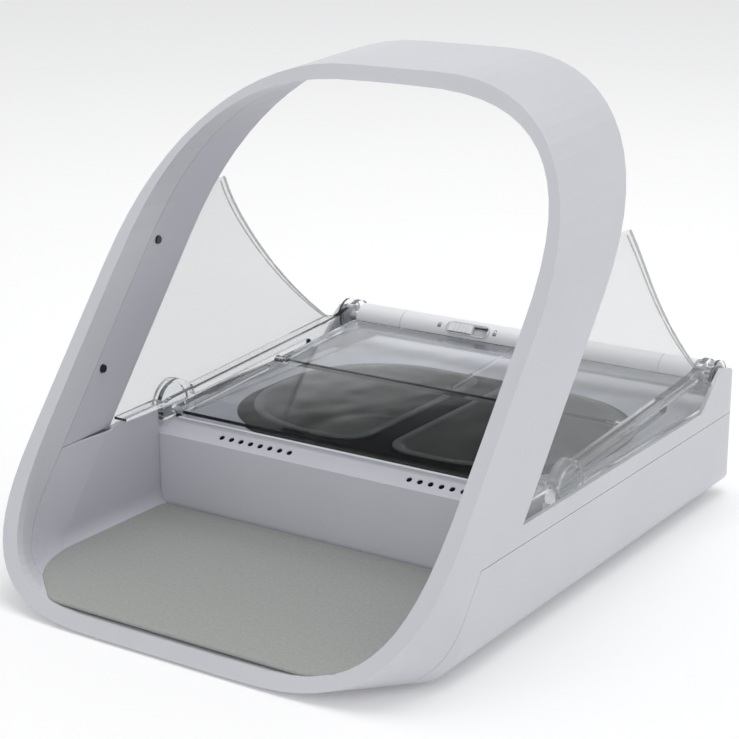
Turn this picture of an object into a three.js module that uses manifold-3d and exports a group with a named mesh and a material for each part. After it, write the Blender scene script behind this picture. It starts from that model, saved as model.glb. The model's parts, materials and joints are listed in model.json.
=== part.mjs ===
// Automatic pet feeder: an arched hood over a feeding tray, two half bowls and a clear folding lid.
// Millimetres, X to the right, Y to the back, Z up. The origin is on the floor, under the middle.
import * as THREE from "three";
import { mergeVertices } from "three/addons/utils/BufferGeometryUtils.js";
import Module from "manifold-3d";

const wasm = await Module();
wasm.setup();

// ---------------------------------------------------------------- driving dimensions
const HALF_WIDTH = 115;
const HALF_DEPTH = 162;
const HOOP_TOP = 224.7;
const BODY_BOTTOM = 1;
const SKIN = 2;
const GAP = 0.3;

// The hood's front face and its rear edge both lean back.
const HOOP_LEAN = 0.784;
const ARCH_REAR_Y = -65;
const ARCH_REAR_LEAN = 0.8;
const WALL_TOP = 53;
const SHELL_SEAM_Z = 44.5;
const LIP_DEPTH = 19;
const BAND_DEPTH = 29;
const LINER_WALL = 1.4;
const LINER_END = 61;

// The opening inside the hoop's lip
const LIP_HALF = 107.9;
const LIP_BOTTOM = 6.25;
const LIP_TOP = 218.35;
const LIP_UPPER = [97.5, 88.3, 2.73];

// Tray and bowl compartment
const TRAY_HALF = 105.6;
const TRAY_SQUARE = 48;
const TRAY_SEAM_Z = 54.5;
const TRAY_WALL = 2;
const TRAY_FLOOR_Z = 6.8;
const MAT_BOTTOM = 7.15;
const MAT_TOP = 8.9;
const BULKHEAD_Y = -33.9;
const LEDGE_FOOT_Z = 44;
const LEDGE_TOP_Y = -24;
const LEDGE_TOP_Z = 50;
const DECK_TOP_Z = 47.6;
const DECK_HALF = 111.9;
const DECK_PLATE = 2;
const BOWL_RIM_Z = 49.4;
const BOWL_FLOOR_Z = 24;

// Folding lid: the rear panel turns about the barrel, the front panel about the fold.
const PIVOT_Y = 140;
const PIVOT_Z = 64;
const FOLD_Y = 59;
const GUIDE_Y = 2 * FOLD_Y - PIVOT_Y;
const LID_SLOPE = 0.0654;
const LID_FRONT_Y = -25.3;
const LID_HALF = 101.7;
const LID_PLATE = 2;
const LID_RISE = 1.1;
const OPEN_GUIDE_Y = 89.9;

// Rails, wings and barrel
const RAIL_INNER = 103.2;
const RAIL_WEB = 3.2;
const RAIL_FLANGE_OUTER = 110.6;
const RAIL_HEIGHT = 6.6;
const BOSS_INNER = 106.8;
const BARREL_RADIUS = 8.2;
const BARREL_WALL = 1.7;
const BARREL_LEFT = -72;
const BARREL_RIGHT = 82;
const BARREL_END = 100.5;
const SHAFT_RADIUS = 3;

// Drive and power
const GEAR_MODULE = 0.8;
const GEAR_NEAR = 107.2;
const GEAR_FAR = 110.2;
const BRACKET_X = 104;
const CELL_RADIUS = 13.1;
const CELL_LENGTH = 50;
const CELL_X = 95;
const CELL_Z = 18.5;
const CELL_START_Y = 18;

const frontAt = (z) => -HALF_DEPTH + HOOP_LEAN * (z - BODY_BOTTOM);
const archRearAt = (z) => ARCH_REAR_Y + ARCH_REAR_LEAN * (z - WALL_TOP);
const lidLineAt = (y) => PIVOT_Z - LID_SLOPE * (PIVOT_Y - y);

// ---------------------------------------------------------------- materials
const plastic = (color, roughness = 0.45) => () =>
  new THREE.MeshStandardMaterial({ color, roughness, metalness: 0 });
const metal = (color, roughness = 0.35) => () =>
  new THREE.MeshStandardMaterial({ color, roughness, metalness: 0.9 });
const clear = (color) => () =>
  new THREE.MeshStandardMaterial({
    color, roughness: 0.08, metalness: 0, transparent: true, opacity: 0.35,
  });

const WHITE = plastic(0xd0d1d6);
const INNER_WHITE = plastic(0xb9b8c4, 0.5);
const MAT_GREY = plastic(0x9b9f9a, 0.8);
const BOWL_GREY = plastic(0x5c5e5c, 0.4);
const BLACK = plastic(0x16161a, 0.35);
const RUBBER = plastic(0x3a3a3c, 0.9);
const CLEAR = clear(0xdfe7ea);
const STEEL = metal(0xb8bbc0);
const COPPER = metal(0xb87340, 0.4);
const BRASS = metal(0xb59a55, 0.4);
const NYLON = plastic(0xe6e2d4, 0.5);
const BOARD_GREEN = plastic(0x1f5a3a, 0.55);

// ---------------------------------------------------------------- solids
function toSolid(geometry) {
  const bare = new THREE.BufferGeometry();
  bare.setAttribute("position", geometry.getAttribute("position"));
  if (geometry.index) bare.setIndex(geometry.index);
  const welded = mergeVertices(bare, 1e-4);
  return new wasm.Manifold(new wasm.Mesh({
    numProp: 3,
    vertProperties: new Float32Array(welded.getAttribute("position").array),
    triVerts: new Uint32Array(welded.index.array),
  }));
}

function toGeometry(solid) {
  const mesh = solid.getMesh();
  const geometry = new THREE.BufferGeometry();
  geometry.setAttribute("position", new THREE.BufferAttribute(mesh.vertProperties, 3));
  geometry.setIndex(new THREE.BufferAttribute(mesh.triVerts, 1));
  geometry.computeVertexNormals();
  return geometry;
}

const join = (...solids) => solids.reduce((all, solid) => all.add(solid));
const cut = (solid, ...tools) => tools.reduce((left, tool) => left.subtract(tool), solid);

function box([x0, x1], [y0, y1], [z0, z1]) {
  const geometry = new THREE.BoxGeometry(x1 - x0, y1 - y0, z1 - z0);
  geometry.translate((x0 + x1) / 2, (y0 + y1) / 2, (z0 + z1) / 2);
  return toSolid(geometry);
}

// A rod along one axis: span is its two ends, centre the other two coordinates in X, Y, Z order.
function rod(axis, radius, [start, end], [u, v], sides = 24) {
  const geometry = new THREE.CylinderGeometry(radius, radius, end - start, sides);
  const middle = (start + end) / 2;
  if (axis === "x") {
    geometry.rotateZ(-Math.PI / 2);
    geometry.translate(middle, u, v);
  } else if (axis === "y") {
    geometry.translate(u, middle, v);
  } else {
    geometry.rotateX(Math.PI / 2);
    geometry.translate(u, v, middle);
  }
  return toSolid(geometry);
}

// Prisms of a closed outline of 2-D points, along the axis that the name gives.
const PRISM_BASES = {
  x: [new THREE.Vector3(0, 1, 0), new THREE.Vector3(0, 0, 1), new THREE.Vector3(1, 0, 0)],
  y: [new THREE.Vector3(0, 0, 1), new THREE.Vector3(1, 0, 0), new THREE.Vector3(0, 1, 0)],
  z: [new THREE.Vector3(1, 0, 0), new THREE.Vector3(0, 1, 0), new THREE.Vector3(0, 0, 1)],
};

function prism(axis, outline, [start, end]) {
  const shape = new THREE.Shape(outline.map(([u, v]) => new THREE.Vector2(u, v)));
  const geometry = new THREE.ExtrudeGeometry(shape, { depth: end - start, bevelEnabled: false });
  geometry.translate(0, 0, start);
  geometry.applyMatrix4(new THREE.Matrix4().makeBasis(...PRISM_BASES[axis]));
  return toSolid(geometry);
}

// Outlines for prisms along Y are drawn as X, Z pairs.
const prismAlongY = (outline, span) => prism("y", outline.map(([x, z]) => [z, x]), span);

// A closed outline whose corners are superellipse quarters [rx, ry, power], in the order
// lower right, upper right, upper left, lower left.
function roundedOutline({ left, right, bottom, top, corners, steps = 10 }) {
  const points = [];
  corners.forEach(([rx, ry, power], quarter) => {
    const centreX = quarter < 2 ? right - rx : left + rx;
    const centreY = quarter === 1 || quarter === 2 ? top - ry : bottom + ry;
    for (let i = 0; i <= steps; i += 1) {
      const angle = (quarter - 1 + i / steps) * Math.PI / 2;
      const bend = (value) => Math.sign(value) * Math.abs(value) ** (2 / power);
      points.push([centreX + rx * bend(Math.cos(angle)), centreY + ry * bend(Math.sin(angle))]);
    }
  });
  return points;
}

// A solid skinned through stations, each a ring of the same number of 3-D points.
function skinned(stations) {
  const count = stations[0].length;
  const positions = stations.flat(2);
  const index = [];
  for (let s = 0; s + 1 < stations.length; s += 1) {
    for (let i = 0; i < count; i += 1) {
      const next = (i + 1) % count;
      const a = s * count + i;
      const b = s * count + next;
      index.push(a, a + count, b + count, a, b + count, b);
    }
  }
  const last = (stations.length - 1) * count;
  for (let i = 1; i + 1 < count; i += 1) {
    index.push(0, i, i + 1, last, last + i + 1, last + i);
  }
  const geometry = new THREE.BufferGeometry();
  geometry.setAttribute("position", new THREE.Float32BufferAttribute(positions, 3));
  geometry.setIndex(index);
  return toSolid(geometry);
}

// ---------------------------------------------------------------- body envelope
// Front-view outlines: the hoop at the front, the band behind it and the back of the body.
const shrink = (corners, inset) => corners.map(([rx, ry, power]) => [rx - inset, ry - inset, power]);

function frontView(top, lower, inset, steps = 16) {
  const upper = [92.5, 92, 2.25];
  return roundedOutline({
    left: inset - HALF_WIDTH,
    right: HALF_WIDTH - inset,
    bottom: BODY_BOTTOM + inset,
    top: top - inset,
    corners: shrink([lower, upper, upper, lower], inset),
    steps,
  });
}

const HOOP_LOWER = [81, 67, 2.9];
const BAND_LOWER = [18, 17, 2.1];
const BACK_LOWER = [16, 16, 2];
const BAND_OFFSET = 38;
// The band's top rises a little towards the back.
const TOP_RISE = 0.0717;

const BACK_OFFSET = 148;
const BACK_RADIUS = 15;
const HEEL_RADIUS = 21;

const topAt = (offset) => HOOP_TOP + TOP_RISE * offset;
const onPlane = (outline, yAt) => outline.map(([x, z]) => [x, yAt(z), z]);

function bodyTunnel(inset, forward = 0, backY = HALF_DEPTH) {
  return skinned([
    onPlane(frontView(HOOP_TOP, HOOP_LOWER, inset), (z) => frontAt(z) - forward),
    onPlane(frontView(topAt(BAND_OFFSET), BAND_LOWER, inset), (z) => frontAt(z) + BAND_OFFSET),
    onPlane(frontView(topAt(BACK_OFFSET), BACK_LOWER, inset), () => backY),
  ]);
}

// Rounds the body's vertical rear corners and its bottom rear edge.
function backRounding(inset) {
  const far = 400;
  const small = [1, 1, 2];
  const plan = roundedOutline({
    left: inset - HALF_WIDTH, right: HALF_WIDTH - inset, bottom: -far, top: HALF_DEPTH - inset,
    corners: [
      small,
      [BACK_RADIUS - inset, BACK_RADIUS - inset, 2],
      [BACK_RADIUS - inset, BACK_RADIUS - inset, 2],
      small,
    ],
  });
  const side = roundedOutline({
    left: -far, right: HALF_DEPTH - inset, bottom: BODY_BOTTOM + inset, top: far,
    corners: [[HEEL_RADIUS - inset, HEEL_RADIUS - inset, 2], small, small, small],
  });
  return prism("z", plan, [-10, far]).intersect(prism("x", side, [-far, far]));
}

const outerBody = bodyTunnel(0).intersect(backRounding(0));
const innerBody = bodyTunnel(SKIN, 1).intersect(backRounding(SKIN));
const skin = cut(outerBody, innerBody);
const cavity = bodyTunnel(SKIN + GAP, 1).intersect(backRounding(SKIN + GAP));

// The opening's lower corners are wide at the front face and tighten quickly behind it.
const CORNER_RADIUS = 93.5;
const CORNER_HEIGHT = 1.02;
const RADIUS_FADE = 21;
const DEEP_POWER = 2.4;
const FACE_POWER = 4.24;
const POWER_FADE = 12;

function lowerCorner(offset) {
  const behind = Math.max(offset, 0);
  const radius = CORNER_RADIUS * Math.exp(-behind / RADIUS_FADE);
  const power = DEEP_POWER + (FACE_POWER - DEEP_POWER) * Math.exp(-behind / POWER_FADE);
  return [radius, CORNER_HEIGHT * radius, power];
}

// The inside of the lip and tray, at a distance behind the hoop's front face.
function opening(offset, outset, top = LIP_TOP, upper = LIP_UPPER) {
  const { clamp, lerp } = THREE.MathUtils;
  const share = clamp((offset - LIP_DEPTH) / (TRAY_SQUARE - LIP_DEPTH), 0, 1);
  const half = lerp(LIP_HALF, TRAY_HALF, share) + outset;
  const lower = lowerCorner(offset);
  return roundedOutline({
    left: -half,
    right: half,
    bottom: lerp(LIP_BOTTOM, TRAY_FLOOR_Z, share) - outset,
    top: top + outset,
    corners: shrink([lower, upper, upper, lower], -outset),
    steps: 16,
  });
}

const behindFront = (offset, outset) =>
  onPlane(opening(offset, outset), (z) => frontAt(z) + offset);
const lipStations = (outset) =>
  [-1, 6, 12, LIP_DEPTH].map((offset) => behindFront(offset, outset));

// The lip, then the liner's face, which opens out towards the rear edge.
const LINER_END_INSET = 4.2;

function linerTunnel(outset) {
  const end = frontView(topAt(LINER_END), BAND_LOWER, LINER_END_INSET - outset);
  return skinned([
    ...lipStations(outset),
    onPlane(end, (z) => frontAt(z) + LINER_END),
  ]);
}

// Side view of the raised ears round the barrel's ends, from the rear forwards.
const EAR_OUTLINE = [[158, 61.5], [148, 68], [137, 70.5], [127, 64], [114, WALL_TOP]];
const EAR_INNER = 99;

// Side-view regions are Y, Z outlines cut right across the body, reaching past it all round.
const ACROSS = [-130, 130];
const BELOW = -5;
const ABOVE = 240;
const BEHIND = HALF_DEPTH + 5;
const sideRegion = (outline) => prism("x", outline, ACROSS);
const leaning = (offset, z) => [frontAt(z) + offset, z];

// ---------------------------------------------------------------- hood and shells
function hoodShell() {
  const region = sideRegion([
    leaning(-5, BELOW),
    leaning(BAND_DEPTH, BELOW),
    leaning(BAND_DEPTH, SHELL_SEAM_Z),
    [BEHIND, SHELL_SEAM_Z],
    [BEHIND, WALL_TOP],
    [HALF_DEPTH, WALL_TOP + 1],
    ...EAR_OUTLINE,
    [archRearAt(WALL_TOP), WALL_TOP],
    [archRearAt(ABOVE), ABOVE],
    leaning(-5, ABOVE),
  ]);
  const lipRegion = sideRegion([
    leaning(-5, BELOW), leaning(LIP_DEPTH, BELOW), leaning(LIP_DEPTH, ABOVE), leaning(-5, ABOVE),
  ]);
  const rearGap = box([-EAR_INNER, EAR_INNER], [120, BEHIND], [WALL_TOP, 80]);
  const lip = cut(outerBody, linerTunnel(0)).intersect(lipRegion);
  return join(cut(skin.intersect(region), rearGap), lip);
}

// Side-view places of the round sensor lenses in each side of the arch.
const IR_SPOTS = [[-26.9, 139.1], [-69.9, 85.3]];
const LENS_RADIUS = 1.9;

function hoodLiner() {
  const region = sideRegion([
    leaning(LIP_DEPTH + GAP, TRAY_SEAM_Z + GAP),
    [archRearAt(TRAY_SEAM_Z) - 2 * GAP, TRAY_SEAM_Z + GAP],
    [archRearAt(ABOVE) - 2 * GAP, ABOVE],
    leaning(LIP_DEPTH + GAP, ABOVE),
  ]);
  const liner = cut(linerTunnel(LINER_WALL), linerTunnel(0)).intersect(region);
  return cut(liner.intersect(bodyTunnel(SKIN + GAP, 1)), ...IR_SPOTS.flatMap(([y, z]) => [
    rod("x", LENS_RADIUS + GAP, [-116, -100], [y, z], 20),
    rod("x", LENS_RADIUS + GAP, [100, 116], [y, z], 20),
  ]));
}

const COIL_SPAN = [LIP_DEPTH + 11, LIP_DEPTH + 20];
const COIL_FOOT_Z = 58;
const COIL_THICKNESS = 0.8;

function antennaCoil() {
  const [near, far] = COIL_SPAN;
  const band = cut(bodyTunnel(SKIN + GAP, 1), bodyTunnel(SKIN + GAP + COIL_THICKNESS, 1));
  const region = sideRegion([
    leaning(near, COIL_FOOT_Z), leaning(far, COIL_FOOT_Z),
    leaning(far, ABOVE), leaning(near, ABOVE),
  ]);
  return cut(band.intersect(region), linerTunnel(LINER_WALL + GAP / 2));
}

const DOOR_X = [79, 116];
const DOOR_Y = [16, 122];
const DOOR_TOP_Z = 6;
const FEET = [[70, -88], [70, 140]];
const FOOT_RADIUS = 6;
const SCREW = [52, 139];
const SCREW_HEAD_RADIUS = 3.1;
const BUTTONS_X = [-22, 0, 22];
const BUTTON_Z = 30;
const BUTTON_RADIUS = 5;

const mirrored = (solid) => solid.mirror([1, 0, 0]);
const bothSides = (solid) => join(solid, mirrored(solid));

function baseShell() {
  const region = sideRegion([
    leaning(BAND_DEPTH + GAP, BELOW),
    [BEHIND, BELOW],
    [BEHIND, SHELL_SEAM_Z - GAP],
    leaning(BAND_DEPTH + GAP, SHELL_SEAM_Z - GAP),
  ]);
  const right = [
    box([DOOR_X[0] - GAP, DOOR_X[1]], [DOOR_Y[0] - GAP, DOOR_Y[1] + GAP], [-1, DOOR_TOP_Z + GAP]),
    ...FEET.map((at) => rod("z", FOOT_RADIUS + GAP, [0, 2.2], at)),
    rod("z", 1.8, [0, 6], SCREW, 16),
    rod("z", SCREW_HEAD_RADIUS + GAP, [0, 2.2], SCREW, 20),
  ];
  const buttonHoles = BUTTONS_X.map(
    (x) => rod("y", BUTTON_RADIUS + GAP, [155, 165], [x, BUTTON_Z], 28),
  );
  return cut(skin.intersect(region), ...right, ...right.map(mirrored), ...buttonHoles);
}

function batteryDoor() {
  return skin.intersect(box(DOOR_X, DOOR_Y, [-1, DOOR_TOP_Z]));
}

// ---------------------------------------------------------------- tray and bowl deck
// The tray's inner surface follows the lip at the front and squares up towards the bulkhead.
function trayTunnel(outset) {
  const end = opening(TRAY_SQUARE, outset, 100, [40, 40, 2]);
  return skinned([
    ...lipStations(outset),
    behindFront(26, outset),
    behindFront(34, outset),
    onPlane(end, (z) => frontAt(z) + TRAY_SQUARE),
    onPlane(end, () => BULKHEAD_Y - GAP),
  ]);
}

function trayLiner() {
  const region = sideRegion([
    leaning(LIP_DEPTH + GAP, 0),
    [BULKHEAD_Y, 0],
    [BULKHEAD_Y, WALL_TOP + 4],
    [archRearAt(WALL_TOP) + 1, WALL_TOP + 4],
    [archRearAt(WALL_TOP) - 3, TRAY_SEAM_Z],
    leaning(LIP_DEPTH + GAP, TRAY_SEAM_Z),
  ]);
  return cut(trayTunnel(TRAY_WALL), trayTunnel(0)).intersect(region).intersect(cavity);
}

// The mat lies flat on the tray's floor, right up to the lip.
const MAT_MARGIN = 1.2;

function trayMat() {
  const depth = [-HALF_DEPTH, BULKHEAD_Y - MAT_MARGIN];
  const slab = box([-TRAY_HALF, TRAY_HALF], depth, [MAT_BOTTOM, MAT_TOP]);
  const behindFace = sideRegion([
    leaning(MAT_MARGIN, 0), [0, 0], [0, 20], leaning(MAT_MARGIN, 20),
  ]);
  return slab.intersect(trayTunnel(-GAP)).intersect(behindFace);
}

// One half bowl's plan outline: a wide curve outside, small corners along the middle.
const BOWL_X = [4, 96];
const BOWL_Y = [-11, 119];

function bowlOutline(inset) {
  const outerCorner = [62, 60, 2.2];
  const innerCorner = [20, 20, 2.2];
  return roundedOutline({
    left: BOWL_X[0] + inset,
    right: BOWL_X[1] - inset,
    bottom: BOWL_Y[0] + inset,
    top: BOWL_Y[1] - inset,
    corners: shrink([outerCorner, outerCorner, innerCorner, innerCorner], Math.min(inset, 15)),
    steps: 9,
  });
}

// A level station keeps the same turning sense as a front-view one, seen from above.
const level = (outline, z) => outline.map(([x, y]) => [x, y, z]);
const stacked = (layers) => skinned(
  layers.map(([inset, z]) => level(bowlOutline(inset), z)).reverse(),
);

// The deck is narrower behind the bowls, beside the gear train.
const DECK_NECK_Y = 124;
const DECK_REAR_Y = 158;

function bowlDeck() {
  const neck = BRACKET_X - GAP;
  const plan = [
    [-DECK_HALF, LEDGE_TOP_Y - 2], [DECK_HALF, LEDGE_TOP_Y - 2],
    [DECK_HALF, DECK_NECK_Y], [neck, DECK_NECK_Y], [neck, DECK_REAR_Y],
    [-neck, DECK_REAR_Y], [-neck, DECK_NECK_Y], [-DECK_HALF, DECK_NECK_Y],
  ];
  const plate = prism("z", plan, [DECK_TOP_Z - DECK_PLATE, DECK_TOP_Z]);
  const front = prism("x", [
    [BULKHEAD_Y, TRAY_FLOOR_Z + 0.2], [BULKHEAD_Y + 2, TRAY_FLOOR_Z + 0.2],
    [BULKHEAD_Y + 2, LEDGE_FOOT_Z - 1], [LEDGE_TOP_Y, DECK_TOP_Z - DECK_PLATE],
    [LEDGE_TOP_Y + 3, DECK_TOP_Z - DECK_PLATE], [LEDGE_TOP_Y + 3, LEDGE_TOP_Z],
    [LEDGE_TOP_Y, LEDGE_TOP_Z], [BULKHEAD_Y, LEDGE_FOOT_Z],
  ], [-DECK_HALF, DECK_HALF]);
  const well = stacked([[17.5, BOWL_FLOOR_Z - 4], [0.5, DECK_TOP_Z - 0.5]]);
  const hollow = stacked([[19, BOWL_FLOOR_Z - 2], [2.2, DECK_TOP_Z + 1]]);
  const post = rod("z", 4.5, [3.8, DECK_TOP_Z - 1], SCREW, 20);
  const pilot = rod("z", 1.6, [0, 16], SCREW, 16);
  const solid = join(plate, front, bothSides(well), bothSides(post));
  const floorLeft = box([-DECK_HALF - 5, DECK_HALF + 5], [-60, 180], [-5, 3.7]);
  return cut(solid, bothSides(hollow), bothSides(pilot), floorLeft, ...ventHoles()).intersect(cavity);
}

// Two rows of round sensor holes through the slanted ledge.
const VENT_STARTS = [-70.1, 36.6];
const VENT_PITCH = 5.7;
const VENT_COUNT = 8;
const VENT_RADIUS = 1.45;
const VENT_SHARE = 0.45;

function ventHoles() {
  const run = LEDGE_TOP_Y - BULKHEAD_Y;
  const rise = LEDGE_TOP_Z - LEDGE_FOOT_Z;
  const tilt = Math.atan2(rise, run);
  const holes = [];
  for (let i = 0; i < VENT_COUNT; i += 1) {
    for (const start of VENT_STARTS) {
      const geometry = new THREE.CylinderGeometry(VENT_RADIUS, VENT_RADIUS, 9, 12);
      geometry.rotateX(Math.PI / 2 + tilt);
      geometry.translate(
        start + i * VENT_PITCH,
        BULKHEAD_Y + run * VENT_SHARE,
        LEDGE_FOOT_Z + rise * VENT_SHARE,
      );
      holes.push(toSolid(geometry));
    }
  }
  return holes;
}

function halfBowl() {
  const body = stacked([[19.8, BOWL_FLOOR_Z], [3.2, BOWL_RIM_Z - 1]]);
  const flange = prism("z", bowlOutline(0), [BOWL_RIM_Z - 1.5, BOWL_RIM_Z]);
  const inside = stacked([[21.5, BOWL_FLOOR_Z + 1.6], [5.2, BOWL_RIM_Z + 0.5]]);
  return cut(join(body, flange), inside);
}

// ---------------------------------------------------------------- rails, hubs and wings
const aboveLid = (y, rise) => [y, lidLineAt(y) + rise];
const RAIL_FRONT_Y = -60.5;
const HUB_RADIUS = 9.4;
const BOSS_RADIUS = 13;
const BOSS_RIM = 2.4;
const BOSS_OUTER = 112.2;
const BOSS_CENTRE = [-18, 54];

function arcPoints([y, z], radius, from, to, steps) {
  return Array.from({ length: steps + 1 }, (_, i) => {
    const angle = THREE.MathUtils.degToRad(from + (to - from) * i / steps);
    return [y + radius * Math.cos(angle), z + radius * Math.sin(angle)];
  });
}

function rail() {
  const bottom = DECK_TOP_Z + GAP;
  const web = prism("x", [
    [-33, bottom + 2.6], [-20.6, bottom + 2.6], [-20.6, bottom], [150, bottom],
    ...arcPoints([PIVOT_Y, PIVOT_Z], HUB_RADIUS, -20, 112, 10),
    aboveLid(118, RAIL_HEIGHT), aboveLid(LID_FRONT_Y, RAIL_HEIGHT), aboveLid(-33, RAIL_HEIGHT - 1),
  ], [RAIL_INNER, RAIL_INNER + RAIL_WEB]);
  const flange = prism("x", [
    aboveLid(-5.5, RAIL_HEIGHT - 1.8), aboveLid(118, RAIL_HEIGHT - 1.8),
    aboveLid(118, RAIL_HEIGHT), aboveLid(-5.5, RAIL_HEIGHT),
  ], [RAIL_INNER, RAIL_FLANGE_OUTER]);
  const nose = prism("x", [
    [RAIL_FRONT_Y, WALL_TOP + 4.3], [-31, WALL_TOP + 4.3], [-31, WALL_TOP + 6.6],
    [RAIL_FRONT_Y, WALL_TOP + 5.6],
  ], [RAIL_INNER, RAIL_FLANGE_OUTER]);
  const shaftBore = rod("x", SHAFT_RADIUS + 0.15, [100, 112], [PIVOT_Y, PIVOT_Z]);
  return cut(join(web, flange, nose), guideSlot(), shaftBore);
}

// The slot that the lid's front guide pins run in, along the line through the barrel's axis.
function guideSlot() {
  const half = 2.4;
  const lean = THREE.MathUtils.radToDeg(Math.atan(LID_SLOPE));
  return prism("x", [
    ...arcPoints(aboveLid(OPEN_GUIDE_Y - 0.2, 0), half, lean - 90, lean + 90, 8),
    ...arcPoints(aboveLid(GUIDE_Y, 0), half, lean + 90, lean + 270, 8),
  ], [RAIL_INNER - 2, RAIL_INNER + RAIL_WEB + 0.2]);
}

function hubCap() {
  const disc = rod("x", HUB_RADIUS, [110.6, 112.1], [PIVOT_Y, PIVOT_Z], 40);
  const ring = cut(
    rod("x", HUB_RADIUS - 3, [112, 113.2], [PIVOT_Y, PIVOT_Z], 40),
    rod("x", HUB_RADIUS - 4.6, [111.9, 114], [PIVOT_Y, PIVOT_Z], 40),
  );
  return join(disc, ring).intersect(bodyTunnel(SKIN + GAP, 1));
}

// A clear side wing carries on the arch's outer skin; its tongue hangs inside the side wall.
const WING_TIP = [31, 160];
const WING_PULL = [62.5, 107.5];
const WING_HEEL = [124.5, 65.2];
const TONGUE_Y = [0, 108];
const TONGUE_Z = [WALL_TOP - 3.5, WALL_TOP + 3];
const TONGUE_THICKNESS = 1.5;

function sideWing() {
  const foot = WALL_TOP + GAP;
  const curve = new THREE.QuadraticBezierCurve(
    new THREE.Vector2(...WING_TIP),
    new THREE.Vector2(...WING_PULL),
    new THREE.Vector2(...WING_HEEL),
  );
  const front = (z) => [archRearAt(z) + GAP, z];
  const earFoot = EAR_OUTLINE[EAR_OUTLINE.length - 1][0];
  const outline = [
    front(foot),
    [earFoot - GAP, foot],
    [WING_HEEL[0] - GAP, WING_HEEL[1] - 3],
    ...curve.getPoints(14).reverse().map((point) => [point.x, point.y]),
    front(WING_TIP[1]),
  ];
  const side = skin.intersect(prism("x", outline, [0, ACROSS[1]]));
  const wall = HALF_WIDTH - SKIN;
  const tongueFace = wall - GAP - TONGUE_THICKNESS;
  const tongue = box([tongueFace, wall - GAP], TONGUE_Y, TONGUE_Z);
  const shoulder = box([tongueFace, wall + 1], TONGUE_Y, [foot + GAP, TONGUE_Z[1]]);
  return join(side, tongue, shoulder);
}

// The round clear boss at the rail's front end, outside the guide pin.
function railBoss() {
  return cut(
    rod("x", BOSS_RADIUS, [BOSS_INNER, BOSS_OUTER], BOSS_CENTRE, 40),
    rod("x", BOSS_RADIUS - BOSS_RIM, [BOSS_OUTER - 1.4, BOSS_OUTER + 1], BOSS_CENTRE, 40),
    box([100, 116], [-40, 10], [30, LEDGE_TOP_Z + GAP]),
  );
}

// ---------------------------------------------------------------- lid
const FOLD_RELIEF = 9;
const SKIRT_DROP = 2.6;
const SKIRT_WALL = 2.4;

const lidBand = (from, to, low, high) => [
  aboveLid(from, low), aboveLid(to, low), aboveLid(to, high), aboveLid(from, high),
];

// Side-view outline of one panel's plate; its underside is cut back beside the fold.
function panelPlate(end, side) {
  const fold = FOLD_Y + side * GAP;
  const low = LID_RISE - LID_PLATE;
  return [
    aboveLid(fold, LID_RISE),
    aboveLid(fold, 0.05),
    aboveLid(FOLD_Y + side * 3.4, low),
    aboveLid(end, low),
    aboveLid(end, LID_RISE),
  ];
}

const FOLD = [FOLD_Y, lidLineAt(FOLD_Y)];
const EAR_RADIUS = 2.9;

function panel(side, end, earInner) {
  const span = [-LID_HALF, LID_HALF];
  const plate = prism("x", panelPlate(end, side), span);
  const near = FOLD_Y + side * FOLD_RELIEF;
  const skirtSide = lidBand(Math.min(near, end), Math.max(near, end), -SKIRT_DROP, 0);
  const skirt = prism("x", skirtSide, [LID_HALF - SKIRT_WALL, LID_HALF]);
  const ownEar = rod("x", EAR_RADIUS, earInner ? [95.9, 98.6] : [98.9, LID_HALF], FOLD, 20);
  const otherEar = rod("x", EAR_RADIUS + 0.4, earInner ? [98.6, 103] : [95.6, 98.9], FOLD, 20);
  const pinHole = rod("x", 1.25, [90, 103], FOLD, 16);
  const solid = cut(join(plate, bothSides(skirt)), bothSides(otherEar));
  return cut(join(solid, bothSides(ownEar)), bothSides(pinHole));
}

function lidFrontPanel() {
  const lip = prism("x", lidBand(LID_FRONT_Y, LID_FRONT_Y + 2.2, -SKIRT_DROP, 0), [-LID_HALF, LID_HALF]);
  const guideBore = rod("x", 1.55, [98, 103], aboveLid(GUIDE_Y, 0), 16);
  return cut(join(panel(-1, LID_FRONT_Y, true), lip), bothSides(guideBore));
}

function lidRearPanel() {
  const end = PIVOT_Y - BARREL_RADIUS + 0.6;
  const barrelRoom = rod("x", BARREL_RADIUS + GAP, [-110, 110], [PIVOT_Y, PIVOT_Z], 48);
  const rib = prism("x", lidBand(FOLD_Y + FOLD_RELIEF, end, -2, 0), [-0.7, 0.7]);
  return cut(join(panel(1, end, false), rib), barrelRoom);
}

// ---------------------------------------------------------------- barrel
const SLIDER_WINDOW_X = [-42, -18];
const SLIDER_X = [-41.5, -27];
const RIDGES_X = [-38, -35.5, -33, -30.5];

function barrel() {
  const tube = cut(
    rod("x", BARREL_RADIUS, [BARREL_LEFT, BARREL_RIGHT], [PIVOT_Y, PIVOT_Z], 48),
    rod("x", BARREL_RADIUS - BARREL_WALL, [-90, 90], [PIVOT_Y, PIVOT_Z], 36),
  );
  const window = box(SLIDER_WINDOW_X, [-2.7, 2.7], [BARREL_RADIUS - 4, BARREL_RADIUS + 2]);
  return cut(tube, placedOnBarrel(window));
}

function barrelEnd(from, to) {
  return cut(
    rod("x", BARREL_RADIUS, [from, to], [PIVOT_Y, PIVOT_Z], 48),
    rod("x", SHAFT_RADIUS + 0.05, [from - 1, to + 1], [PIVOT_Y, PIVOT_Z], 24),
  );
}

// Moves a piece from above the origin onto the barrel's upper front side.
const SLIDER_TILT = 50;

function placedOnBarrel(solid) {
  return solid.rotate([SLIDER_TILT, 0, 0]).translate([0, PIVOT_Y, PIVOT_Z]);
}

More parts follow.
